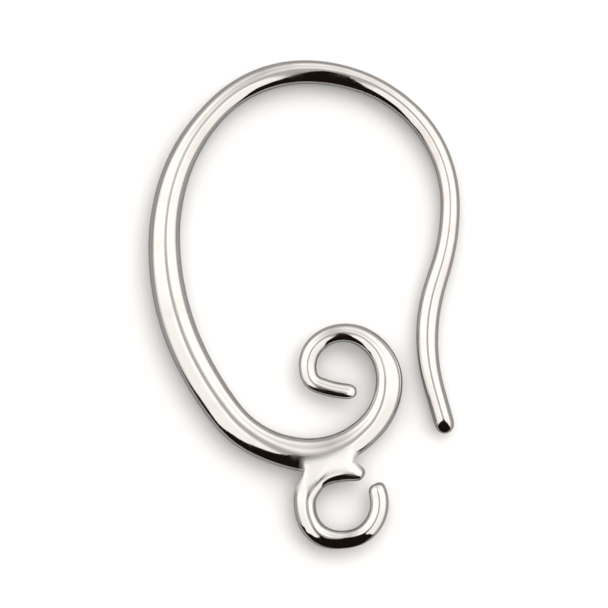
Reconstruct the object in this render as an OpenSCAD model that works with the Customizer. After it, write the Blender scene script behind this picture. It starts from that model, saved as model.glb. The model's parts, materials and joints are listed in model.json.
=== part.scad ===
// Ear wire: a cast, plated metal hook with a round post, a heavier front sweep that ends in a rolled
// curl, and an open hanging loop fused under the bottom turn. It lies flat on a table, sizes in mm.

/* [Post] */
// Diameter of the round post that goes through the ear
post_d = 0.8; // [0.7:0.02:1]
// Length of the straight tip of the post
tip_len = 1.9; // [1.4:0.1:2.6]
// Bend radius of the post's two easy bends
post_bend_r = 7; // [5:0.25:9]
// How far the tip kicks outwards, in degrees
post_kick = 16; // [8:1:24]
// Clear gap between the post and the stem of the curl
post_gap = 0.54; // [0.3:0.02:1]

/* [Arch and front] */
// Bend radius of the arch that hangs in the ear
arch_r = 5.4; // [4.8:0.1:6.4]
// Bend radius of the long front sweep
front_r = 10.9; // [9:0.1:13]
// Width of the front where it is widest
front_w = 1.36; // [1.1:0.02:1.6]
// Thickness of the front where it is thickest
front_t = 1.16; // [1:0.02:1.4]
// How far the ridge of the front leans towards its inner edge
front_ridge = 0.1; // [0:0.01:0.2]

/* [Bottom turn] */
// Bend radius of the bottom turn
turn_r = 3.4; // [2.8:0.1:4]
// Width of the bottom turn
turn_w = 1.12; // [0.9:0.02:1.3]
// Thickness of the bottom turn
turn_t = 1.04; // [0.8:0.02:1.2]

/* [Curl] */
// Bend radius half way round the curl
curl_r = 1.55; // [1.3:0.05:1.8]
// Diameter of the wire in the curl
curl_d = 0.66; // [0.5:0.02:0.8]
// Diameter at the blunt end of the curl
curl_end_d = 0.54; // [0.4:0.02:0.66]

/* [Hanging loop] */
// Inside diameter of the loop
loop_id = 2.22; // [1.6:0.02:2.8]
// Width and thickness of the loop's wire
loop_wire = 0.7; // [0.5:0.02:0.9]
// Corner radius of the loop's squarish wire
loop_corner_r = 0.23; // [0.12:0.01:0.25]
// Opening of the loop, in degrees
loop_opening = 20; // [10:1:40]
// Middle of the opening, in degrees from the right-hand side
loop_opening_at = 42; // [30:1:60]
// Where the loop hangs, in degrees past the lowest point of the hook
loop_past_bottom = 13; // [0:1:20]
// How deep the loop sinks into the bottom turn
loop_sink = 0.24; // [0.16:0.01:0.34]
// Diameter of the metal that fills the corner beside the loop
fillet_d = 0.64; // [0.5:0.02:0.68]

/* [Fineness] */
// Number of sides of the swept wire
wire_sides = 18; // [14:2:24]
// Largest turn between two sections of the wire, in degrees
section_turn = 6; // [4:1:9]

/* [Hidden] */

// Columns of a bend: radius, turn (positive to the left), and the section where the bend ends
RADIUS = 0;
TURN = 1;
WIDTH = 2;
THICK = 3;
RIDGE = 4;

// Columns of a station: its place, its heading and the bends passed so far
X = 0;
Y = 1;
HEADING = 2;
PASSED = 3;

// Bends of the arch, from its widest side to the shoulder of the front
arch_bends = [
    [arch_r * 0.93, 45, post_d * 0.95, post_d * 0.98, 0],
    [arch_r * 1.1, 45, post_d * 1.04, post_d * 1.05, 0],
    [arch_r * 0.93, 45, post_d * 1.1, post_d * 1.1, 0],
    [arch_r * 1.35, 45, front_w * 0.95, front_t * 0.96, front_ridge * 0.5]
];

// Bends of the front sweep, down to the lowest point of the hook
front_bends = [
    [front_r, 15, front_w, front_t, front_ridge],
    [front_r, 25, turn_w * 1.07, turn_t * 1.07, front_ridge],
    [turn_r * 1.24, 50, turn_w, turn_t, front_ridge * 0.5]
];

// Bends of the bottom turn, up to the stem of the curl
turn_bends = [
    [turn_r, 45, turn_w * 0.95, turn_t * 0.98, 0],
    [turn_r * 0.77, 45, turn_w * 0.93, turn_t * 0.94, 0]
];

// Bends of the curl, from its stem to its blunt end
curl_bends = [
    [curl_r * 1.3, 60, curl_d * 1.1, curl_d * 1.12, 0],
    [curl_r, 75, curl_d, curl_d, 0],
    [curl_r * 0.85, 60, curl_d * 0.92, curl_d * 0.94, 0],
    [curl_r * 0.37, 55, curl_end_d * 1.05, curl_end_d * 1.05, 0],
    [curl_r * 2.4, 20, curl_end_d, curl_end_d, 0]
];

// Sideways travel of a run of bends, from a heading
function travel_x(rows, heading, k = 0) =
    k == len(rows) ? 0 :
    rows[k][RADIUS] * (sin(heading + rows[k][TURN]) - sin(heading))
    + travel_x(rows, heading + rows[k][TURN], k + 1);

// The post leans inwards until it stands post_gap clear of the stem of the curl
stem_half_w = turn_bends[len(turn_bends) - 1][WIDTH] / 2;
stem_x = travel_x(concat(arch_bends, front_bends, turn_bends), 90);
lean_r = post_bend_r * 1.2;
lean_x = -stem_x - stem_half_w - post_gap - post_d / 2;
post_lean = sign(lean_x) * acos(1 - abs(lean_x) / (post_bend_r + lean_r));

// Bends of the post, from the end of its straight tip to the widest side of the arch
post_bends = [
    [post_bend_r, -(post_kick + post_lean), post_d * 1.05, post_d, 0],
    [lean_r, post_lean, post_d * 0.94, post_d * 0.96, 0]
];

bends = concat(post_bends, arch_bends, front_bends, turn_bends, curl_bends);
bends_to_front = len(post_bends) + len(arch_bends);
bends_to_bottom = bends_to_front + len(front_bends);

// Stations along one bend that starts at station s
function bend_stations(s, row) =
    let (n = max(1, ceil(abs(row[TURN]) / section_turn)), r = row[RADIUS] * sign(row[TURN]))
    [for (k = [1:n]) let (h = s[HEADING] + row[TURN] * k / n) [
        s[X] + r * (sin(h) - sin(s[HEADING])),
        s[Y] - r * (cos(h) - cos(s[HEADING])),
        h,
        s[PASSED] + k / n
    ]];

// Stations along all bends, one bend after another
function chain(rows, s, k = 0) =
    k == len(rows) ? [s] :
    let (run = bend_stations(s, rows[k]))
    concat([s], [for (j = [0:1:len(run) - 2]) run[j]], chain(rows, run[len(run) - 1], k + 1));

stations = chain(bends, [0, 0, 90 + post_kick, 0]);

// A size at any station: the value in the bend table, eased where two bends meet
tip_row = [0, 0, post_d, post_d, 0];
ease = 0.3;
function knots(column) = [for (k = [0:len(bends)]) [k, k == 0 ? tip_row[column] : bends[k - 1][column]]];
width_knots = knots(WIDTH);
thick_knots = knots(THICK);
ridge_knots = knots(RIDGE);
function eased(knots, u) =
    (lookup(u - ease, knots) + 2 * lookup(u, knots) + lookup(u + ease, knots)) / 4;

// Height of the wire's middle: the post and the thick front both lie on the table
function smooth_share(t) = t * t * (3 - 2 * t);
function middle_z(u) =
    let (t = smooth_share(min(1, u / bends_to_front)))
    post_d / 2 * (1 - t) + front_t / 2 * t;

// One ring of points round the wire, spread and shrunk where an end is rounded
function ring(s, ahead = 0, shrink = 1) =
    let (
        u = s[PASSED], z = middle_z(u), h = s[HEADING],
        half_w = eased(width_knots, u) / 2 * shrink,
        half_t = eased(thick_knots, u) / 2 * shrink,
        ridge = eased(ridge_knots, u)
    )
    [for (k = [0:wire_sides - 1]) let (
        a = 360 * (k + 0.5) / wire_sides,
        out = half_w * cos(a) - ridge * sin(a) * sin(a)
    ) [
        s[X] + ahead * cos(h) + out * sin(h),
        s[Y] + ahead * sin(h) - out * cos(h),
        z + half_t * sin(a)
    ]];

// The swept wire starts just inside the tip's rod and ends in a blunt rounded end
tip_lap = 0.2;
tip_ease = 0.97;
end_steps = [30, 55, 75];
last_station = stations[len(stations) - 1];
rings = concat(
    [ring(stations[0], -tip_lap, tip_ease), ring(stations[0], 0, tip_ease)],
    [for (k = [1:len(stations) - 1]) ring(stations[k])],
    [for (a = end_steps) ring(last_station, curl_end_d / 2 * sin(a), cos(a))]
);
ring_count = len(rings);
wire_points = [for (r = rings) for (p = r) p];
function corner(i, k) = i * wire_sides + k % wire_sides;
wire_faces = concat(
    [[for (k = [1:wire_sides]) corner(0, wire_sides - k)]],
    [for (i = [0:ring_count - 2]) for (k = [0:wire_sides - 1])
        [corner(i, k), corner(i, k + 1), corner(i + 1, k + 1), corner(i + 1, k)]],
    [[for (k = [0:wire_sides - 1]) corner(ring_count - 1, k)]]
);

// The loop hangs outwards from the bottom turn, just past its lowest point
loop_inner_r = loop_id / 2;
loop_outer_r = loop_inner_r + loop_wire;
loop_mid_r = loop_inner_r + loop_wire / 2;
loop_z = front_t / 2;
loop_u = bends_to_bottom + loop_past_bottom / turn_bends[0][TURN];
bottom = [for (s = stations) if (s[PASSED] == bends_to_bottom) s][0];
loop_way = bend_stations(bottom, [turn_bends[0][RADIUS], loop_past_bottom]);
loop_root = loop_way[len(loop_way) - 1];
loop_drop = eased(width_knots, loop_u) / 2 + loop_outer_r - loop_sink;
loop_c = [
    loop_root[X] + loop_drop * sin(loop_root[HEADING]),
    loop_root[Y] - loop_drop * cos(loop_root[HEADING])
];
loop_start = loop_opening_at + loop_opening / 2;
loop_turn = 360 - loop_opening;

// Where the fillet starts on the loop, in degrees; it runs up to the lowest point of the hook
fillet_foot = 150;

// The straight tip of the post, from the first station to the middle of its domed end
tip_start = stations[0];
tip_rod = tip_len - post_d / 2;
tip_c = [
    tip_start[X] - tip_rod * cos(tip_start[HEADING]),
    tip_start[Y] - tip_rod * sin(tip_start[HEADING])
];

// The origin is the middle of the outline, on the table
edge_points = concat(
    [for (p = wire_points) [p.x, p.y]],
    [for (a = [0:90:270]) loop_c + loop_outer_r * [cos(a), sin(a)]],
    [for (a = [0:90:270]) tip_c + post_d / 2 * [cos(a), sin(a)]]
);
x_values = [for (p = edge_points) p.x];
y_values = [for (p = edge_points) p.y];
centre = [(min(x_values) + max(x_values)) / 2, (min(y_values) + max(y_values)) / 2];

// Straight, round tip of the post, with a domed end
module post_tip() {
    translate([tip_c.x, tip_c.y, post_d / 2]) {
        sphere(d = post_d, $fn = 48);
        rotate([0, 90, tip_start[HEADING]]) cylinder(d = post_d, h = tip_rod, $fn = 48);
    }
}

// Post, arch, front sweep, bottom turn and curl: one wire whose section swells and thins
module swept_wire() {
    polyhedron(points = wire_points, faces = wire_faces, convexity = 6);
}

// Rounded square section of the loop's wire, with a flat side that faces the eye
module loop_section() {
    flat = loop_wire / 2 - loop_corner_r;
    corner_steps = 4;
    polygon([for (c = [0:3]) for (k = [0:corner_steps])
        let (a = 90 * c + 90 * k / corner_steps, q = 90 * c + 45)
        [
            flat * sign(cos(q)) + loop_corner_r * cos(a),
            flat * sign(sin(q)) + loop_corner_r * sin(a)
        ]]);
}

// Open loop that carries the drop
module hanging_loop() {
    translate([loop_c.x, loop_c.y, loop_z]) rotate([0, 0, loop_start])
        rotate_extrude(angle = loop_turn, $fn = 96) translate([loop_mid_r, 0]) loop_section();
}

// Solder fillet: a short round bar from the loop's shoulder into the bottom turn
module fillet_bar() {
    foot = loop_c + loop_mid_r * [cos(fillet_foot), sin(fillet_foot)];
    reach = [bottom[X], bottom[Y]] - foot;
    translate([foot.x, foot.y, loop_z]) {
        sphere(d = fillet_d, $fn = 32);
        rotate([0, 90, atan2(reach.y, reach.x)]) cylinder(d = fillet_d, h = norm(reach), $fn = 32);
    }
}

module ear_wire() {
    color("silver") translate([-centre.x, -centre.y, 0]) union() {
        swept_wire();
        post_tip();
        hanging_loop();
        fillet_bar();
    }
}

ear_wire();
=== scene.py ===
"""Looks of one cast and plated ear wire that lies on a pale table.

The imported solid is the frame: the post and the loop's eye are read from its record. The shown piece is one
smooth body, drawn out ring by ring along the hook's bends, with the hanging loop fused to its bottom turn.
Sizes are in millimetres until the finished mesh is brought to metres.
"""

import json
import logging
import math
from collections.abc import Sequence
from dataclasses import dataclass, field
from enum import Enum

import bmesh
import bpy
from bmesh.types import BMEdge, BMesh, BMFace, BMVert
from mathutils import Matrix, Vector


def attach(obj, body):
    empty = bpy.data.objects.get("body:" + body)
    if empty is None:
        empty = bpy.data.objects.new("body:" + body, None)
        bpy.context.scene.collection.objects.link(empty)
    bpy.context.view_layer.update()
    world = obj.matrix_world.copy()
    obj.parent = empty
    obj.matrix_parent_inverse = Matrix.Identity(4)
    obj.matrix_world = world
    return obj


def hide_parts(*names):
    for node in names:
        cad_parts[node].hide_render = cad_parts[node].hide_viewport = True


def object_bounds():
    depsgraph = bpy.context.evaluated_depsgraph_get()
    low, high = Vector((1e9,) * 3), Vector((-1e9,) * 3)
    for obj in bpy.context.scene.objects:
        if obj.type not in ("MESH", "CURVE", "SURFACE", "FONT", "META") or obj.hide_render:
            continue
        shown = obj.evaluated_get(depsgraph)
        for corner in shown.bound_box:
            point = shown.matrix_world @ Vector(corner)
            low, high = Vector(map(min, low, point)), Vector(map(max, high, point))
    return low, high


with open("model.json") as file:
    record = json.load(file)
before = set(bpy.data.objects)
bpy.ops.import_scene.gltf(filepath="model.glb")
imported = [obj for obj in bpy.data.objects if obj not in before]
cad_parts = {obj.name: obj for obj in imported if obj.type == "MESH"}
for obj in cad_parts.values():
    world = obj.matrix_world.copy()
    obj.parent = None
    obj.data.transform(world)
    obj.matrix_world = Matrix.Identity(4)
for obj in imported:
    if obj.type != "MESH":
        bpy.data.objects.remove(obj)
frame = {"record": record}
CAD_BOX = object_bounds()

LOG = logging.getLogger("ear_wire")
MM = 0.001


class Layer(Enum):
    """Names of the values that each cage corner carries."""

    AROUND = "around"
    STRAIGHT = "straight_wire"
    SOLDER = "solder"


class EndForm(Enum):
    """How a wire's end is closed: the angles up the cap, in degrees, at which its rings lie."""

    DOMED = (30.0, 58.0, 78.0)
    BLUNT = (48.0, 74.0)


@dataclass(frozen=True)
class Station:
    """A place on the middle line of a wire.

    The heading is in degrees, and the way is counted along the wire from its start.
    """

    x: float
    y: float
    z: float
    heading: float
    way: float

    def matrix(self) -> Matrix:
        """Works out the place's own axes.

        Returns:
            The place, with X to the right of the heading, Y up from the table and Z ahead.
        """
        h = math.radians(self.heading)
        c, s = math.cos(h), math.sin(h)
        axes = Matrix(((s, 0.0, c), (-c, 0.0, s), (0.0, 1.0, 0.0)))
        return Matrix.Translation((self.x, self.y, self.z)) @ axes.to_4x4()


@dataclass(frozen=True)
class Straight:
    """A straight stretch of wire."""

    length: float
    steps: int

    def stations(self, start: Station) -> list[Station]:
        """Steps along the stretch.

        Args:
            start: The station that the stretch starts from.

        Returns:
            One station for each step, without the start.
        """
        h = math.radians(start.heading)
        places = []
        for k in range(1, self.steps + 1):
            gone = self.length * k / self.steps
            places.append(Station(
                start.x + gone * math.cos(h),
                start.y + gone * math.sin(h),
                start.z,
                start.heading,
                start.way + gone,
            ))
        return places


@dataclass(frozen=True)
class Arc:
    """A bend of wire in the plane of the table, with its turn in degrees, positive to the left."""

    radius: float
    turn: float
    steps: int

    def stations(self, start: Station) -> list[Station]:
        """Steps round the bend.

        Args:
            start: The station that the bend starts from.

        Returns:
            One station for each step, without the start.
        """
        r = math.copysign(self.radius, self.turn)
        h0 = math.radians(start.heading)
        places = []
        for k in range(1, self.steps + 1):
            h = h0 + math.radians(self.turn) * k / self.steps
            places.append(Station(
                start.x + r * (math.sin(h) - math.sin(h0)),
                start.y - r * (math.cos(h) - math.cos(h0)),
                start.z,
                math.degrees(h),
                start.way + r * (h - h0),
            ))
        return places


def cage_reach(beside: float) -> float:
    """Returns the reach that smoothing draws in to 1, from its neighbours' share of that reach."""
    return 3.0 / (2.0 + beside)


@dataclass(frozen=True)
class Gauge:
    """Section of a wire at one place: its size, and how far it strays from a plain round one.

    The middle is its height over the table. The crest leans inwards, the shoulders stand out at the four
    corners as a share of the size, and the whole section stands aside of the wire's middle line, outwards.
    """

    way: float
    width: float
    thick: float
    middle: float
    crest: float = 0.0
    shoulder: float = 0.0
    aside: float = 0.0

    def corner(self, angle: float, step: float) -> tuple[float, float]:
        """Places a cage corner, as far out as smoothing draws it in.

        Args:
            angle: Angle round the wire in radians, from its outer side towards its top.
            step: Angle from one corner of the ring to the next.

        Returns:
            The corner's distance outwards and upwards from the wire's middle.
        """
        c, s = math.cos(angle), math.sin(angle)
        full = self.shoulder * math.sin(2 * angle) ** 2
        beside = self.shoulder * math.sin(2 * step) ** 2
        wide = cage_reach(math.cos(step) * (1.0 + beside))
        tall = cage_reach(math.cos(step) * (1.0 - beside / 2))
        out = c * (1.0 + full) * wide * self.width / 2 - self.crest * s * s + self.aside
        up = s * (1.0 - full / 2) * tall * self.thick / 2
        return out, up


def gauge_at(rows: Sequence[Gauge], way: float) -> Gauge:
    """Eases between the rows of a gauge table.

    Args:
        rows: The table, in the order of its ways.
        way: The place along the wire.

    Returns:
        The section at that place, on a smooth curve through the rows.
    """
    last = len(rows) - 1
    k = next((i for i in range(last) if way < rows[i + 1].way), last - 1)
    span = rows[k + 1].way - rows[k].way
    t = min(1.0, max(0.0, (way - rows[k].way) / span))

    def eased(name: str) -> float:
        """Eases one column of the table.

        Args:
            name: The column's name.

        Returns:
            Its value on the curve.
        """
        a, b = (getattr(rows[i], name) for i in (k, k + 1))
        before, after = rows[max(0, k - 1)], rows[min(last, k + 2)]
        slope_a = (b - getattr(before, name)) / (rows[k + 1].way - before.way) * span
        slope_b = (getattr(after, name) - a) / (after.way - rows[k].way) * span
        return (
            a * (2 * t ** 3 - 3 * t ** 2 + 1) + slope_a * (t ** 3 - 2 * t ** 2 + t)
            + b * (3 * t ** 2 - 2 * t ** 3) + slope_b * (t ** 3 - t ** 2)
        )

    return Gauge(way, *(eased(name) for name in ("width", "thick", "middle", "crest", "shoulder", "aside")))


@dataclass
class Ring:
    """One ring of cage corners, its edges, and the faces drawn out to reach it."""

    verts: list[BMVert]
    edges: list[BMEdge]
    faces: list[BMFace] = field(default_factory=list)


class WireCage:
    """Cage of a wire that is drawn out of a circle, ring by ring.

    Smoothing draws the cage in to the wire's true size.
    """

    def __init__(self, bm: BMesh, sides: int, start: Station, gauges: Sequence[Gauge]) -> None:
        """Sets the first ring.

        Args:
            bm: The mesh that takes the cage.
            sides: Number of corners in a ring.
            start: Where the wire starts.
            gauges: The wire's sections along its way.
        """
        self.bm = bm
        self.gauges = gauges
        self.step = 2 * math.pi / sides
        self.around = bm.verts.layers.float[Layer.AROUND.value]
        self.straight = bm.verts.layers.float_vector[Layer.STRAIGHT.value]
        made = bmesh.ops.create_circle(bm, cap_ends=False, radius=1.0, segments=sides)
        verts = made["verts"]
        for v in verts:
            v[self.around] = math.atan2(v.co.y, v.co.x)
        edges = list(dict.fromkeys(e for v in verts for e in v.link_edges))
        self.rings = [Ring(verts, edges)]
        self.set_ring(self.rings[0], start)

    def set_ring(self, ring: Ring, station: Station, ahead: float = 0.0, shrink: float = 1.0) -> None:
        """Puts a ring's corners on the section of a station.

        Args:
            ring: The ring to place.
            station: Its place on the middle line.
            ahead: How far ahead of the station it lies, for a rounded end.
            shrink: Its size as a share of the section there.
        """
        gauge = gauge_at(self.gauges, station.way)
        place = station.matrix() @ Matrix.Translation((0.0, gauge.middle - station.z, ahead))
        for v in ring.verts:
            out, up = gauge.corner(v[self.around], self.step)
            flat = Vector(((out - gauge.aside) * shrink + gauge.aside, up * shrink, 0.0))
            v.co = place @ flat
            v[self.straight] = Vector((station.way + ahead, flat.x, flat.y))

    def grow(self, station: Station, ahead: float = 0.0, shrink: float = 1.0) -> Ring:
        """Draws the wire out by one ring.

        Args:
            station: Where the new ring goes.
            ahead: How far ahead of the station it lies, for a rounded end.
            shrink: Its size as a share of the section there.

        Returns:
            The new ring.
        """
        grown = bmesh.ops.extrude_edge_only(self.bm, edges=self.rings[-1].edges)["geom"]
        verts = [g for g in grown if isinstance(g, BMVert)]
        members = set(verts)
        edges = [g for g in grown if isinstance(g, BMEdge) and members.issuperset(g.verts)]
        faces = [g for g in grown if isinstance(g, BMFace)]
        ring = Ring(verts, edges, faces)
        self.rings.append(ring)
        self.set_ring(ring, station, ahead, shrink)
        return ring

    def follow(self, runs: Sequence[Straight | Arc], start: Station) -> Station:
        """Draws the wire out along its runs.

        Args:
            runs: The straight and bent stretches in order.
            start: The station of the ring that is there.

        Returns:
            The station where the last run ends.
        """
        here = start
        for run in runs:
            for here in run.stations(here):
                self.grow(here)
        return here

    def close(self, station: Station, form: EndForm, depth: float) -> None:
        """Closes the wire's far end with a rounded cap.

        Args:
            station: The last station.
            form: How full the cap is.
            depth: How far the cap stands out past the station.
        """
        for angle in form.value:
            a = math.radians(angle)
            self.grow(station, depth * math.sin(a), math.cos(a))
        bmesh.ops.contextual_create(self.bm, geom=self.rings[-1].edges)

    def close_start(self, station: Station, form: EndForm, depth: float) -> None:
        """Closes the wire's near end with a rounded cap, drawn out of the first ring.

        Args:
            station: The first station.
            form: How full the cap is.
            depth: How far the cap stands out before the station.
        """
        self.rings.append(self.rings[0])
        self.close(station, form, -depth)


@dataclass
class Post:
    """Place and size of the straight, round end that goes through the ear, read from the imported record."""

    radius: float
    rod: float
    tip: Vector
    heading: float

    @classmethod
    def from_record(cls, record: dict) -> "Post":
        """Reads the post's mount.

        Args:
            record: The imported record.

        Returns:
            The post, with its tip at the middle of the domed end.
        """
        mount = next(m for m in record["mounts"] if m["name"] == "ear_post")
        axis = Vector(mount["axis"])
        rod = mount["dims"]["length_mm"]
        tip = Vector(mount["pos_m"]) / MM + axis * (rod / 2)
        return cls(mount["dims"]["r_mm"], rod, tip, math.degrees(math.atan2(-axis.y, -axis.x)))


@dataclass
class Hook:
    """The hook: post, arch, front sweep, bottom turn and curl, all one swelling wire.

    The neck is the stretch of the bottom turn that the web to the loop leaves from. It starts neck_lead
    degrees before the lowest point and takes neck_turn degrees of the bend, with a border ring at each end.
    It reaches neck_half_angle degrees round the wire, to each side of its outermost line.
    """

    post: Post
    sides: int = 16
    post_bend_r: float = 7.0
    post_lean: float = 20.2
    post_kick: float = 16.0
    arch_r: float = 5.4
    front_r: float = 10.9
    turn_r: float = 3.4
    curl_r: float = 1.55
    neck_turn: float = 29.2
    neck_lead: float = 1.8
    neck_border: float = 3.0
    neck_steps: int = 5
    neck_half_angle: float = 67.5
    front_middle: float = 0.58
    curl_end: float = 0.27
    neck_rings: list[Ring] = field(default_factory=list)

    def gauges(self) -> list[Gauge]:
        """Lists the sections, each by its way, width, thickness, middle, crest, shoulder and aside.

        Returns:
            The sections from the tip of the post to the end of the curl.
        """
        low, high = self.post.radius, self.front_middle
        rows = [
            (0.0, 0.78, 0.79, low, 0.0, 0.04, 0.0),
            (1.9, 0.79, 0.79, low, 0.0, 0.06, 0.0),
            (3.6, 0.86, 0.79, low + 0.01, 0.0, 0.08, 0.0),
            (5.1, 0.88, 0.79, low + 0.02, 0.0, 0.10, 0.0),
            (7.6, 0.79, 0.78, low + 0.03, 0.0, 0.13, 0.0),
            (10.1, 0.75, 0.76, low + 0.04, 0.0, 0.16, -0.01),
            (12.3, 0.77, 0.77, low + 0.06, 0.0, 0.18, -0.01),
            (14.8, 0.79, 0.78, low + 0.08, -0.06, 0.18, -0.018),
            (16.6, 0.88, 0.80, low + 0.09, -0.11, 0.18, -0.058),
            (19.5, 0.94, 0.84, high - 0.05, -0.05, 0.18, -0.03),
            (22.0, 0.93, 0.90, high - 0.02, 0.02, 0.16, -0.01),
            (24.2, 1.06, 1.02, high, 0.03, 0.13, -0.015),
            (26.2, 1.17, 1.10, high, 0.05, 0.12, -0.035),
            (29.2, 1.31, 1.14, high, 0.08, 0.12, 0.0),
            (31.0, 1.35, 1.14, high, 0.10, 0.12, 0.01),
            (33.6, 1.35, 1.12, high, 0.10, 0.14, 0.0),
            (36.0, 1.30, 1.08, high, 0.15, 0.15, 0.06),
            (37.4, 1.24, 1.06, high, 0.08, 0.16, 0.045),
            (38.8, 1.31, 1.04, high, -0.03, 0.18, 0.075),
            (41.3, 1.10, 1.00, high, 0.07, 0.18, -0.015),
            (43.6, 1.03, 0.98, high, 0.20, 0.16, -0.02),
            (45.0, 0.87, 0.86, high, 0.10, 0.15, -0.055),
            (46.6, 0.72, 0.72, high, 0.0, 0.17, -0.06),
            (48.2, 0.72, 0.68, high, 0.0, 0.18, 0.0),
            (49.5, 0.66, 0.60, high, -0.03, 0.16, 0.0),
            (51.2, 0.60, 0.54, high, -0.08, 0.12, 0.05),
        ]
        return [Gauge(*row) for row in rows]

    def runs_to_neck(self) -> list[Straight | Arc]:
        """Lists the stretches up to the neck.

        Returns:
            The post, the arch, the front sweep and the start of the bottom turn.
        """
        return [
            Straight(self.post.rod, 4),
            Arc(self.post_bend_r, -(self.post_kick + self.post_lean), 7),
            Arc(self.post_bend_r * 1.2, self.post_lean, 4),
            Arc(self.arch_r * 0.93, 45, 7),
            Arc(self.arch_r * 1.1, 45, 8),
            Arc(self.arch_r * 0.93, 45, 7),
            Arc(self.arch_r * 1.35, 45, 8),
            Arc(self.front_r, 40, 10),
            Arc(self.turn_r * 1.24, 50 - self.neck_lead - self.neck_border, 6),
            Arc(self.turn_r * 1.24, self.neck_border, 1),
        ]

    def runs_past_neck(self) -> list[Straight | Arc]:
        """Lists the stretches past the neck.

        Returns:
            The end of the bottom turn, the stem and the curl.
        """
        return [
            Arc(self.turn_r, self.neck_border, 1),
            Arc(self.turn_r, 45 + self.neck_lead - self.neck_border - self.neck_turn, 2),
            Arc(self.turn_r * 0.77, 45, 7),
            Arc(self.curl_r * 1.3, 60, 8),
            Arc(self.curl_r, 75, 8),
            Arc(self.curl_r * 0.85, 60, 7),
            Arc(self.curl_r * 0.37, 55, 6),
            Arc(self.curl_r * 2.4, 20, 4),
        ]

    def build(self, bm: BMesh) -> None:
        """Draws the hook out into a mesh.

        Args:
            bm: The mesh that takes it.
        """
        p = self.post
        start = Station(p.tip.x, p.tip.y, p.radius, p.heading, p.radius)
        cage = WireCage(bm, self.sides, start, self.gauges())
        here = cage.follow(self.runs_to_neck(), start)
        self.neck_rings = [cage.rings[-1]]
        for here in Arc(self.turn_r * 1.02, self.neck_turn, self.neck_steps).stations(here):
            self.neck_rings.append(cage.grow(here))
        here = cage.follow(self.runs_past_neck(), here)
        cage.close(here, EndForm.BLUNT, self.curl_end)
        cage.close_start(start, EndForm.DOMED, p.radius)
        LOG.info("hook: %d rings, %.1f mm long", len(cage.rings), here.way + self.curl_end)


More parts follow.
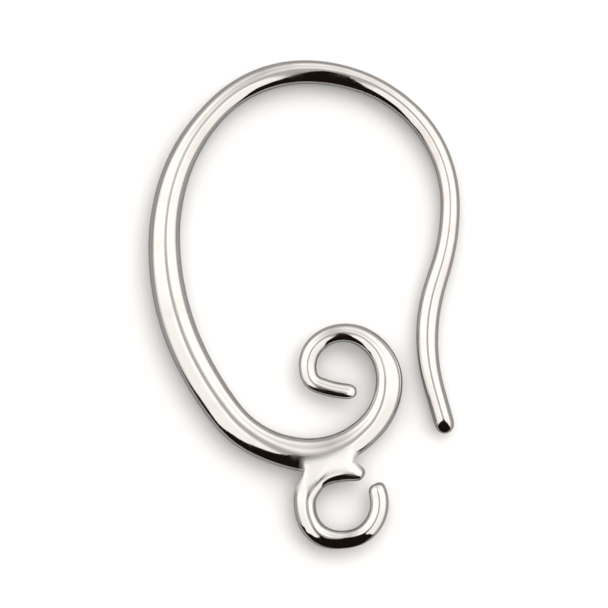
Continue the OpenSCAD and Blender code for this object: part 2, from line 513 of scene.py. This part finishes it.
@dataclass
class HangingLoop:
    """The open loop under the bottom turn, with its stub end at the neck and its free end across the gap.

    The loop is bent by hand. So each row of its form says, at an angle round the eye, how far the wire's
    inner and outer edges stand outwards of the true ring, how far its middle stands up, how far its crest
    leans inwards, and how far its shoulders stand out. The web meets the loop from neck_from to neck_to.
    Its rim is soldered on the first neck_soldered rings there, and the loop is bare on the others.
    """

    middle: Vector
    eye_r: float
    wire: float = 0.7
    sides: int = 12
    stub_tip: float = 50.5
    neck_from: float = 74.0
    neck_to: float = 170.0
    neck_border: float = 6.0
    free_tip: float = 391.0
    end_depth: float = 0.16
    form: tuple[tuple[float, ...], ...] = (
        (50.0, 0.00, -0.16, 0.02, 0.00, 0.34), (65.0, -0.15, -0.15, 0.05, 0.02, 0.30),
        (80.0, -0.24, -0.04, 0.09, -0.07, 0.06), (95.0, -0.29, 0.00, 0.13, -0.10, 0.00),
        (110.0, -0.28, 0.00, 0.14, -0.05, 0.00), (130.0, -0.19, 0.00, 0.10, 0.10, 0.10),
        (155.0, -0.14, 0.10, 0.03, 0.22, 0.10), (172.0, -0.11, 0.07, 0.02, 0.12, 0.04),
        (185.0, -0.10, 0.07, 0.01, 0.13, -0.10), (200.0, -0.08, 0.09, 0.00, 0.13, -0.12),
        (215.0, -0.05, 0.11, 0.00, 0.12, -0.08), (230.0, -0.03, 0.12, -0.03, 0.07, 0.06),
        (245.0, -0.04, 0.08, -0.05, 0.03, 0.20), (260.0, -0.05, 0.00, -0.06, 0.00, 0.24),
        (275.0, -0.05, -0.05, -0.06, 0.00, 0.26), (290.0, -0.03, -0.02, -0.05, 0.00, 0.28),
        (304.0, 0.00, 0.01, -0.03, 0.00, 0.30), (320.0, 0.01, 0.03, -0.01, 0.00, 0.24),
        (335.0, 0.01, 0.04, 0.01, 0.00, 0.20), (350.0, 0.02, 0.05, 0.02, 0.00, 0.20),
        (370.0, 0.02, 0.06, 0.02, 0.00, 0.22), (392.0, 0.05, 0.04, 0.02, 0.00, 0.28),
    )
    neck_steps: int = 5
    open_steps: int = 15
    neck_half_angle: float = 90.0
    neck_soldered: int = 3
    neck_rings: list[Ring] = field(default_factory=list)

    @classmethod
    def from_record(cls, record: dict) -> "HangingLoop":
        """Reads the eye's mount.

        Args:
            record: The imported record.

        Returns:
            The loop round that eye.
        """
        mount = next(m for m in record["mounts"] if m["name"] == "loop_eye")
        return cls(Vector(mount["pos_m"]) / MM, mount["dims"]["r_mm"])

    @property
    def swell(self) -> float:
        """Returns how far the cage's bend lies outside the true one, which smoothing draws in."""
        return cage_reach(math.cos(math.radians((self.free_tip - self.neck_to) / self.open_steps)))

    @property
    def mid_r(self) -> float:
        """Returns the radius of the wire's middle line in the cage."""
        return (self.eye_r + self.wire / 2) * self.swell

    def gauges(self, first: float) -> list[Gauge]:
        """Reads the loop's form.

        Args:
            first: The angle that the cage starts from, in degrees.

        Returns:
            The loop's sections, by their way from that angle.
        """
        return [
            Gauge(
                math.radians(angle - first) * self.mid_r, self.wire + outer - inner, self.wire,
                self.middle.z + lift, crest, shoulder, (inner + outer) / 2 * self.swell,
            )
            for angle, inner, outer, lift, crest, shoulder in self.form
        ]

    def build(self, bm: BMesh) -> None:
        """Draws the loop out into a mesh, from its stub round to its free end.

        Args:
            bm: The mesh that takes it.
        """
        cap = math.degrees(self.end_depth / self.mid_r)
        first = self.stub_tip + cap
        a = math.radians(first)
        start = Station(
            self.middle.x + self.mid_r * math.cos(a), self.middle.y + self.mid_r * math.sin(a),
            self.middle.z, first + 90.0, 0.0,
        )
        cage = WireCage(bm, self.sides, start, self.gauges(first))
        here = cage.follow([
            Arc(self.mid_r, self.neck_from - first, 1),
            Arc(self.mid_r, self.neck_to - self.neck_from, self.neck_steps),
            Arc(self.mid_r, self.neck_border, 1),
            Arc(self.mid_r, self.free_tip - cap - self.neck_to - self.neck_border, self.open_steps),
        ], start)
        self.neck_rings = cage.rings[1:self.neck_steps + 2]
        cage.close(here, EndForm.BLUNT, self.end_depth)
        cage.close_start(start, EndForm.BLUNT, self.end_depth)
        LOG.info("loop: %d rings round an eye of %.2f mm", len(cage.rings), 2 * self.eye_r)


@dataclass(frozen=True)
class FiledFacet:
    """Flat left by a file: it starts at a chord beside a middle point and falls away outwards.

    The chord's turn is measured from -Y towards +X. Only what lies within the reach of the middle is filed,
    from a short lead inside the chord on. The flat's rim is rounded by the softness, which touches nothing
    that lies deeper below the flat than a few times that.
    """

    middle: Vector
    reach: float
    chord: float
    chord_turn: float
    chord_z: float
    slope: float
    softness: float = 0.015
    lead: float = 0.1
    soft_depths: float = 3.0

    def cut(self, mesh: bpy.types.Mesh) -> None:
        """Lowers what stands above the flat.

        Args:
            mesh: The smoothed mesh, in metres.
        """
        turn = math.radians(self.chord_turn)
        outwards = Vector((math.sin(turn), -math.cos(turn)))
        fall = math.tan(math.radians(self.slope))
        bm = bmesh.new()
        bm.from_mesh(mesh)
        filed = 0
        for v in bm.verts:
            off = (v.co / MM - self.middle).to_2d()
            past = off.dot(outwards) - self.chord
            over = v.co.z / MM - (self.chord_z - fall * past)
            if off.length < self.reach and past > -self.lead and over > -self.soft_depths * self.softness:
                v.co.z -= MM * (over + math.hypot(over, self.softness)) / 2
                filed += over > 0
        bm.to_mesh(mesh)
        bm.free()
        LOG.info("facet: %d corners filed down", filed)


@dataclass(frozen=True)
class Grain:
    """A layer of unevenness: waves to a unit of place, number of finer layers, and full depth in metres."""

    scale: float
    detail: float
    depth: float = 0.0


class NodeSheet:
    """Small helper that sets nodes on a tree and wires them."""

    def __init__(self, tree: bpy.types.NodeTree) -> None:
        """Takes the tree that it works on."""
        self.nodes, self.links = tree.nodes, tree.links

    def new(self, kind: str) -> bpy.types.Node:
        """Returns a new node of a kind."""
        return self.nodes.new(kind)

    def feed(self, socket: bpy.types.NodeSocket, value: float | bpy.types.NodeSocket) -> None:
        """Links a socket, or sets it.

        Args:
            socket: The socket that is fed.
            value: The socket that feeds it, or its own value.
        """
        if isinstance(value, bpy.types.NodeSocket):
            self.links.new(value, socket)
        else:
            socket.default_value = value

    def maths(self, operation: str, *values: float | bpy.types.NodeSocket) -> bpy.types.NodeSocket:
        """Adds a Math node.

        Args:
            operation: Its operation.
            values: Its inputs, numbers or sockets.

        Returns:
            Its result.
        """
        node = self.new("ShaderNodeMath")
        node.operation = operation
        for socket, value in zip(node.inputs, values):
            self.feed(socket, value)
        return node.outputs["Value"]

    def split(self, vector: bpy.types.NodeSocket) -> tuple[bpy.types.NodeSocket, ...]:
        """Splits a vector.

        Args:
            vector: The vector.

        Returns:
            Its three parts.
        """
        node = self.new("ShaderNodeSeparateXYZ")
        self.links.new(vector, node.inputs[0])
        return tuple(node.outputs)

    def smooth(self, value: bpy.types.NodeSocket, low: float, high: float) -> bpy.types.NodeSocket:
        """Eases a value from 0 at low to 1 at high.

        Args:
            value: The value.
            low: Where the result leaves 0.
            high: Where it reaches 1.

        Returns:
            The eased result.
        """
        node = self.new("ShaderNodeMapRange")
        node.interpolation_type = "SMOOTHSTEP"
        for name, v in (("Value", value), ("From Min", low), ("From Max", high)):
            self.feed(node.inputs[name], v)
        return node.outputs["Result"]

    def blend(
        self, share: bpy.types.NodeSocket, a: float | bpy.types.NodeSocket, b: float | bpy.types.NodeSocket
    ) -> bpy.types.NodeSocket:
        """Blends two values.

        Args:
            share: 0 gives the first, 1 the second.
            a: The first value.
            b: The second value.

        Returns:
            The blend.
        """
        node = self.new("ShaderNodeMix")
        for socket, value in zip(node.inputs[:1] + node.inputs[2:4], (share, a, b)):
            self.feed(socket, value)
        return node.outputs["Result"]

    def outline(
        self, azimuth: bpy.types.NodeSocket, rows: Sequence[tuple[float, float]], top: float
    ) -> bpy.types.NodeSocket:
        """Reads a table over the azimuth.

        Args:
            azimuth: The azimuth in radians, from -pi to pi.
            rows: Pairs of azimuth in degrees and value.
            top: The largest value that the table may hold.

        Returns:
            The table's value.
        """
        node = self.new("ShaderNodeFloatCurve")
        curve = node.mapping.curves[0]
        while len(curve.points) < len(rows):
            curve.points.new(0.5, 0.5)
        for point, (degrees, value) in zip(curve.points, rows):
            point.location = (degrees / 360.0 + 0.5, value / top)
            point.handle_type = "VECTOR"
        node.mapping.update()
        self.feed(node.inputs["Value"], self.maths("MULTIPLY_ADD", azimuth, 0.5 / math.pi, 0.5))
        return self.maths("MULTIPLY", node.outputs["Value"], top)

    def attribute(self, layer: Layer) -> bpy.types.Node:
        """Adds a node that reads one of the piece's layers.

        Args:
            layer: The layer.

        Returns:
            The node.
        """
        node = self.new("ShaderNodeAttribute")
        node.attribute_name = layer.value
        return node

    def stretch(self, place: bpy.types.NodeSocket, factors: Sequence[float]) -> bpy.types.NodeSocket:
        """Stretches a place.

        Args:
            place: The place.
            factors: What each of its parts is multiplied by.

        Returns:
            The stretched place.
        """
        node = self.new("ShaderNodeVectorMath")
        node.operation = "MULTIPLY"
        self.feed(node.inputs[0], place)
        self.feed(node.inputs[1], factors)
        return node.outputs["Vector"]

    def noise(self, place: bpy.types.NodeSocket, grain: Grain) -> bpy.types.NodeSocket:
        """Adds a noise.

        Args:
            place: Where it is read.
            grain: Its scale and detail.

        Returns:
            The noise, from 0 to 1 with most of it near 0.5.
        """
        node = self.new("ShaderNodeTexNoise")
        for name, v in (("Vector", place), ("Scale", grain.scale), ("Detail", grain.detail)):
            self.feed(node.inputs[name], v)
        return node.outputs["Fac"]

    def tint(
        self, share: bpy.types.NodeSocket, a: Sequence[float] | bpy.types.NodeSocket, b: Sequence[float]
    ) -> bpy.types.NodeSocket:
        """Blends two colours.

        Args:
            share: 0 gives the first, 1 the second.
            a: The first colour.
            b: The second colour.

        Returns:
            The blend.
        """
        node = self.new("ShaderNodeMix")
        node.data_type = "RGBA"
        for name, v in (("Factor", share), ("A", a), ("B", b)):
            self.feed(node.inputs[name], v)
        return node.outputs["Result"]

    def bump(
        self, height: bpy.types.NodeSocket, depth: float, below: bpy.types.NodeSocket | None = None
    ) -> bpy.types.NodeSocket:
        """Adds a relief.

        Args:
            height: The relief, from 0 to 1.
            depth: Its full depth in metres.
            below: The relief that it lies on.

        Returns:
            The bumped normal.
        """
        node = self.new("ShaderNodeBump")
        for name, v in (("Height", height), ("Strength", 1.0), ("Distance", depth)):
            self.feed(node.inputs[name], v)
        if below is not None:
            self.feed(node.inputs["Normal"], below)
        return node.outputs["Normal"]


@dataclass(frozen=True)
class PlatedMetal:
    """Polished white plating over a tumbled casting.

    It is bright, softly uneven and finely pitted. Lines and flutes run along the wire, read from its
    straightened place. The solder of the neck is duller and has a hammered look.
    """

    name: str = "plated_metal"
    bright: tuple[float, float, float, float] = (0.93, 0.92, 0.915, 1.0)
    warm: tuple[float, float, float, float] = (0.90, 0.86, 0.845, 1.0)
    joined: tuple[float, float, float, float] = (0.94, 0.93, 0.915, 1.0)
    polish: float = 0.04
    haze: float = 0.13
    joined_haze: float = 0.36
    joined_metal: float = 0.6
    warm_cloud: tuple[float, float] = (0.5, 0.72)
    hazy_cloud: tuple[float, float] = (0.4, 0.75)
    drawn: tuple[float, float, float] = (0.22, 5.0, 5.0)
    fluted: tuple[float, float, float] = (0.05, 1.1, 1.1)
    hammered: tuple[float, float, float] = (0.8, 0.5, 0.8)
    swell: Grain = Grain(620.0, 1.0, 9.0e-6)
    cloud: Grain = Grain(1100.0, 3.0)
    line: Grain = Grain(3.0, 3.0, 0.9e-6)
    flute: Grain = Grain(3.0, 1.0, 7.0e-6)
    dent: Grain = Grain(2200.0, 1.0, 10.0e-6)
    pit: Grain = Grain(9000.0, 2.0, 0.5e-6)

    def material(self) -> bpy.types.Material:
        """Mixes the finish.

        Returns:
            Its node material.
        """
        mat = bpy.data.materials.new(self.name)
        mat.use_nodes = True
        sheet = NodeSheet(mat.node_tree)
        shader = mat.node_tree.nodes["Principled BSDF"]
        place = sheet.new("ShaderNodeTexCoord").outputs["Object"]
        joined = sheet.attribute(Layer.SOLDER).outputs["Fac"]
        sheet.feed(shader.inputs["Metallic"], sheet.blend(joined, 1.0, self.joined_metal))
        straight = sheet.attribute(Layer.STRAIGHT).outputs["Vector"]
        swell = sheet.noise(place, self.swell)
        cloud = sheet.noise(place, self.cloud)
        lines = sheet.noise(sheet.stretch(straight, self.drawn), self.line)
        flutes = sheet.noise(sheet.stretch(straight, self.fluted), self.flute)
        dents = sheet.maths("SUBTRACT", sheet.noise(sheet.stretch(place, self.hammered), self.dent), 0.5)
        pits = sheet.noise(place, self.pit)

        colour = sheet.tint(sheet.smooth(cloud, *self.warm_cloud), self.bright, self.warm)
        sheet.feed(shader.inputs["Base Color"], sheet.tint(joined, colour, self.joined))
        haze = sheet.blend(sheet.smooth(cloud, *self.hazy_cloud), self.polish, self.haze)
        sheet.feed(shader.inputs["Roughness"], sheet.blend(joined, haze, self.joined_haze))
        relief = sheet.bump(swell, self.swell.depth)
        relief = sheet.bump(flutes, self.flute.depth, relief)
        relief = sheet.bump(sheet.maths("MULTIPLY", dents, joined), self.dent.depth, relief)
        relief = sheet.bump(lines, self.line.depth, relief)
        sheet.feed(shader.inputs["Normal"], sheet.bump(pits, self.pit.depth, relief))
        return mat


@dataclass(frozen=True)
class PaleTable:
    """Matt white table top.

    It is darker in the metal's reflections than to the eye: its colour is painted dark on glossy rays, a
    painted shade in the metal's reflections of the table that gives the wire dark outlines.
    """

    name: str = "pale_table"
    tone: tuple[float, float, float, float] = (0.85, 0.85, 0.85, 1.0)
    painted_reflection_shade: tuple[float, float, float, float] = (0.22, 0.22, 0.22, 1.0)
    roughness: float = 0.9

    def material(self) -> bpy.types.Material:
        """Mixes the finish.

        Returns:
            Its node material.
        """
        mat = bpy.data.materials.new(self.name)
        mat.use_nodes = True
        sheet = NodeSheet(mat.node_tree)
        shader = mat.node_tree.nodes["Principled BSDF"]
        # Glossy rays get the dark colour instead of the table's tone: painted shade in the metal's
        # reflections.
        painted_reflection_shade = sheet.new("ShaderNodeLightPath").outputs["Is Glossy Ray"]
        sheet.feed(shader.inputs["Base Color"], sheet.tint(painted_reflection_shade, self.tone, self.painted_reflection_shade))
        shader.inputs["Roughness"].default_value = self.roughness
        return mat


@dataclass
class EarWire:
    """The whole ear wire: its hook and its loop, fused at the neck into one plated body.

    A web of solder joins the two. Where X is under web_side it is filled out by web_belly towards -X, eased
    in over web_ease. A neck's faces are found by their corners' angles, give or take angle_slack.
    """

    hook: Hook
    loop: HangingLoop
    facets: Sequence[FiledFacet]
    finish: PlatedMetal
    smoothing: int = 2
    angle_slack: float = 0.01
    web_cuts: int = 2
    web_side: float = 0.35
    web_ease: float = 0.3
    web_belly: float = 0.13

    def patch(self, rings: Sequence[Ring], half_angle: float, bm: BMesh) -> list[BMFace]:
        """Finds the faces on the outer side of a stretch of wire.

        Args:
            rings: The rings that bound the stretch.
            half_angle: How far round the wire the patch reaches, to each side, in degrees.
            bm: The mesh.

        Returns:
            The faces whose corners all lie within that angle.
        """
        around = bm.verts.layers.float[Layer.AROUND.value]
        limit = math.radians(half_angle) + self.angle_slack
        return [
            f for ring in rings[1:] for f in ring.faces
            if all(abs(v[around]) < limit for v in f.verts)
        ]

    def fuse(self, bm: BMesh) -> None:
        """Opens the hook's underside and the loop's top and bridges the two openings with the web.

        The web is then cut finer and filled out towards -X. The loop's rim stays bare of solder there.

        Args:
            bm: The mesh that holds both.
        """
        faces = self.patch(self.hook.neck_rings, self.hook.neck_half_angle, bm)
        faces += self.patch(self.loop.neck_rings, self.loop.neck_half_angle, bm)
        bmesh.ops.delete(bm, geom=faces, context="FACES")
        rims = [e for e in bm.edges if e.is_boundary]
        made = bmesh.ops.bridge_loops(bm, edges=rims)
        solder = bm.verts.layers.float[Layer.SOLDER.value]
        bare = {v for ring in self.loop.neck_rings[self.loop.neck_soldered:] for v in ring.verts}
        for v in {v for f in made["faces"] for v in f.verts}:
            v[solder] = float(v not in bare)
        cut = bmesh.ops.subdivide_edges(bm, edges=made["edges"], cuts=self.web_cuts, use_grid_fill=True)
        for v in [g for g in cut["geom_inner"] if isinstance(g, BMVert)]:
            v[solder] = 1.0
            v.co.x -= self.web_belly * min(1.0, max(0.0, (self.web_side - v.co.x) / self.web_ease))
        LOG.info("neck: %d faces cut away, %d rim edges", len(faces), len(rims))

    def settle(self, bm: BMesh) -> None:
        """Sorts the edges and faces by their lowest corners.

        Drawing a ring out makes them in an order that changes from run to run.

        Args:
            bm: The mesh, whose corners have the same order in every run.
        """
        bm.verts.index_update()
        count = len(bm.verts)

        def rank(part: BMEdge | BMFace) -> int:
            """Works out a part's place in the order.

            Args:
                part: The edge or face.

            Returns:
                A number that its three lowest corners give, or its two in an edge.
            """
            place = 0
            for corner in sorted(v.index for v in part.verts)[:3]:
                place = place * count + corner
            return place

        bm.edges.sort(key=rank)
        bm.faces.sort(key=rank)

    def smooth(self, piece: bpy.types.Object) -> None:
        """Smooths the cage into the true surface and keeps the result as the piece's mesh.

        Args:
            piece: The piece, whose mesh is the cage.
        """
        smooth = piece.modifiers.new("smooth", "SUBSURF")
        smooth.levels = smooth.render_levels = self.smoothing
        shown = piece.evaluated_get(bpy.context.evaluated_depsgraph_get())
        mesh = bpy.data.meshes.new_from_object(shown)
        piece.modifiers.clear()
        cage, piece.data = piece.data, mesh
        bpy.data.meshes.remove(cage)
        mesh.name = piece.name

    def build(self) -> bpy.types.Object:
        """Builds and dresses the piece.

        Returns:
            The finished object, in metres, riding on the root body.
        """
        bm = bmesh.new()
        bm.verts.layers.float.new(Layer.AROUND.value)
        bm.verts.layers.float_vector.new(Layer.STRAIGHT.value)
        bm.verts.layers.float.new(Layer.SOLDER.value)
        self.hook.build(bm)
        self.loop.build(bm)
        self.fuse(bm)
        bmesh.ops.recalc_face_normals(bm, faces=bm.faces)
        bmesh.ops.scale(bm, vec=(MM, MM, MM), verts=bm.verts)
        for f in bm.faces:
            f.smooth = True
        self.settle(bm)
        mesh = bpy.data.meshes.new("plated_ear_wire")
        bm.to_mesh(mesh)
        bm.free()
        # Which end of an edge comes first also changes from run to run, and the smoothing follows it.
        for e in mesh.edges:
            e.vertices = sorted(e.vertices)
        piece = bpy.data.objects.new("plated_ear_wire", mesh)
        bpy.context.scene.collection.objects.link(piece)
        self.smooth(piece)
        for facet in self.facets:
            facet.cut(piece.data)
        piece.data.materials.append(self.finish.material())
        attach(piece, "root")
        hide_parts("ear_wire")
        return piece


@dataclass(frozen=True)
class Tent:
    """The room's light as the metal sees it: two bright sides with a gap between them, and a dark front.

    The gap runs over the top from the back to the front. The back has a tone of its own at each azimuth,
    and soft folds down its height. A dimmer ring lies low all round. The skyline says from which zenith
    angle down the front is dark. Directions are in degrees: an azimuth of 0 is -Y, the front, and 90 is +X.
    A zenith angle of 0 is straight up. The two tables have straight lines between their rows.
    """

    gap_tone: float = 0.45
    gap_reach: tuple[float, float] = (7.0, 15.0)
    back: tuple[tuple[float, float], ...] = (
        (-180.0, 0.84), (-174.0, 0.74), (-164.0, 0.61), (-150.0, 0.84), (-134.0, 1.10), (136.0, 1.10),
        (156.0, 0.90), (168.0, 0.86), (180.0, 0.84),
    )
    back_limit: float = 1.2
    back_azimuth: tuple[float, float] = (118.0, 134.0)
    back_zenith: tuple[float, float] = (4.0, 14.0)
    back_folds: tuple[float, float] = (0.15, 13.0)
    side_tone: float = 1.16
    front_share: float = 0.85
    front_azimuth: tuple[float, float] = (100.0, 66.0)
    front_zenith: tuple[float, float] = (15.0, 35.0)
    ring_tone: float = 0.30
    ring_reach: tuple[float, float] = (61.0, 82.0)
    skyline: tuple[tuple[float, float], ...] = (
        (-180.0, 120.0), (-82.0, 120.0), (-68.0, 95.0), (-58.0, 64.0), (-51.0, 70.0), (-42.0, 54.0),
        (-33.0, 47.0), (-24.0, 40.0), (-16.0, 22.0), (-12.0, 9.0), (5.0, 6.0), (11.0, 30.0), (18.0, 42.0),
        (31.0, 48.0), (37.0, 62.0), (43.0, 84.0), (50.0, 120.0), (180.0, 120.0),
    )
    skyline_limit: float = 120.0
    skyline_edge: float = 1.5
    dark_tone: float = 0.009
    seen_tone: float = 1.05
    tint: tuple[float, float, float, float] = (1.0, 0.957, 0.918, 1.0)
    dark_tint: tuple[float, float, float, float] = (1.0, 0.62, 0.5, 1.0)

    def span(
        self, sheet: NodeSheet, angle: bpy.types.NodeSocket, reach: tuple[float, float]
    ) -> bpy.types.NodeSocket:
        """Eases an angle from 0 at the reach's first number to 1 at its second, both in degrees."""
        return sheet.smooth(angle, *(math.radians(v) for v in reach))

    def build(self) -> None:
        """Paints the light on the world."""
        world = bpy.data.worlds.new("tent")
        world.use_nodes = True
        bpy.context.scene.world = world
        sheet = NodeSheet(world.node_tree)
        way = sheet.new("ShaderNodeTexCoord").outputs["Generated"]
        across, along, up = sheet.split(way)
        azimuth = sheet.maths("ARCTAN2", across, sheet.maths("MULTIPLY", along, -1.0))
        zenith = sheet.maths("ARCCOSINE", up)
        sideways = sheet.maths("ARCTAN2", sheet.maths("ABSOLUTE", across), up)
        off_gap = self.span(sheet, sideways, self.gap_reach)
        glow = sheet.blend(off_gap, self.gap_tone, self.side_tone)
        turned = sheet.maths("ABSOLUTE", azimuth)
        front = sheet.maths("MULTIPLY", self.span(sheet, turned, self.front_azimuth),
                            self.span(sheet, zenith, self.front_zenith))
        glow = sheet.maths("MULTIPLY", glow, sheet.blend(front, 1.0, self.front_share))
        behind = sheet.maths("MULTIPLY", self.span(sheet, turned, self.back_azimuth),
                             self.span(sheet, zenith, self.back_zenith))
        depth, waves = self.back_folds
        folds = sheet.maths("COSINE", sheet.maths("MULTIPLY", zenith, waves))
        back_tone = sheet.maths("MULTIPLY", sheet.outline(azimuth, self.back, self.back_limit),
                                sheet.maths("MULTIPLY_ADD", folds, depth, 1.0))
        glow = sheet.blend(behind, glow, back_tone)
        glow = sheet.blend(self.span(sheet, zenith, self.ring_reach), glow, self.ring_tone)
        line = sheet.outline(azimuth, self.skyline, self.skyline_limit)
        edge = math.radians(self.skyline_edge)
        dark = sheet.smooth(sheet.maths("SUBTRACT", zenith, sheet.maths("RADIANS", line)), -edge, edge)
        glow = sheet.blend(dark, glow, self.dark_tone)
        seen = sheet.new("ShaderNodeLightPath").outputs["Is Camera Ray"]
        back = world.node_tree.nodes["Background"]
        sheet.links.new(sheet.blend(seen, glow, self.seen_tone), back.inputs["Strength"])
        tint = sheet.tint(dark, self.tint, self.dark_tint)
        sheet.feed(back.inputs["Color"], tint)


@dataclass(frozen=True)
class Lamp:
    """A broad, soft lamp, kept out of the metal's reflections; its turn is counted from +Y towards -X."""

    turn: float
    zenith: float
    strength: float
    spread: float = 64.0


@dataclass
class Studio:
    """Pale table, tent of light, lamps and camera.

    The lens, the sensor and the height of the view are in millimetres, and the other lengths in metres.
    """

    target: Vector
    lamps: tuple[Lamp, ...] = (Lamp(-62.0, 58.0, 1.5), Lamp(0.0, 58.0, 1.5), Lamp(180.0, 24.0, 0.4))
    camera_elevation: float = 87.0
    lens: float = 180.0
    sensor: float = 36.0
    clip_start: float = 0.005
    view_height: float = 24.0
    table_size: float = 2.0
    lamp_distance: float = 0.5

    def table(self) -> None:
        """Lays the table top."""
        bm = bmesh.new()
        bmesh.ops.create_grid(bm, x_segments=1, y_segments=1, size=self.table_size / 2)
        mesh = bpy.data.meshes.new("table")
        bm.to_mesh(mesh)
        bm.free()
        mesh.materials.append(PaleTable().material())
        top = bpy.data.objects.new("table", mesh)
        bpy.context.scene.collection.objects.link(top)

    def aim(self, azimuth: float, zenith: float, distance: float) -> Matrix:
        """Works out a place on a dome round the target, facing it.

        Args:
            azimuth: Direction in degrees, from +X towards +Y.
            zenith: Degrees down from straight up.
            distance: Metres from the target.

        Returns:
            The place, whose -Z axis points at the target.
        """
        a, t = math.radians(azimuth), math.radians(zenith)
        away = Vector((math.sin(t) * math.cos(a), math.sin(t) * math.sin(a), math.cos(t)))
        turn = away.to_track_quat("Z", "Y").to_matrix().to_4x4()
        return Matrix.Translation(self.target + away * distance) @ turn

    def light(self) -> None:
        """Hangs the lamps."""
        for lamp in self.lamps:
            data = bpy.data.lights.new("lamp", "SUN")
            data.angle = math.radians(lamp.spread)
            data.energy = lamp.strength
            hung = bpy.data.objects.new("lamp", data)
            hung.matrix_world = self.aim(90.0 + lamp.turn, lamp.zenith, self.lamp_distance)
            hung.visible_glossy = False
            bpy.context.scene.collection.objects.link(hung)

    def camera(self) -> None:
        """Sets the camera at the photograph's angle."""
        data = bpy.data.cameras.new("camera")
        data.lens = self.lens
        data.sensor_width = self.sensor
        data.clip_start = self.clip_start
        distance = self.view_height * MM / 2 / (self.sensor / 2 / self.lens)
        cam = bpy.data.objects.new("camera", data)
        cam.matrix_world = self.aim(-90.0, 90.0 - self.camera_elevation, distance)
        bpy.context.scene.collection.objects.link(cam)
        bpy.context.scene.camera = cam

    def build(self) -> None:
        """Sets up the whole studio."""
        bpy.context.scene.view_settings.view_transform = "Standard"
        self.table()
        Tent().build()
        self.light()
        self.camera()


def main() -> None:
    """Builds the ear wire and the studio round it."""
    logging.basicConfig(level=logging.INFO, format="%(name)s: %(message)s")
    record = frame["record"]
    hook = Hook(Post.from_record(record))
    loop = HangingLoop.from_record(record)
    facets = (
        FiledFacet(loop.middle, reach=2.3, chord=1.34, chord_turn=5.0, chord_z=0.87, slope=26.0),
        FiledFacet(
            hook.post.tip, reach=0.6, chord=-0.07, chord_turn=-10.0, chord_z=0.77, slope=27.0,
            softness=0.03,
        ),
    )
    piece = EarWire(hook, loop, facets, PlatedMetal()).build()
    LOG.info("piece %s: %d faces", piece.name, len(piece.data.polygons))
    low, high = CAD_BOX
    Studio((low + high) / 2).build()


if __name__ == "__main__":
    main()
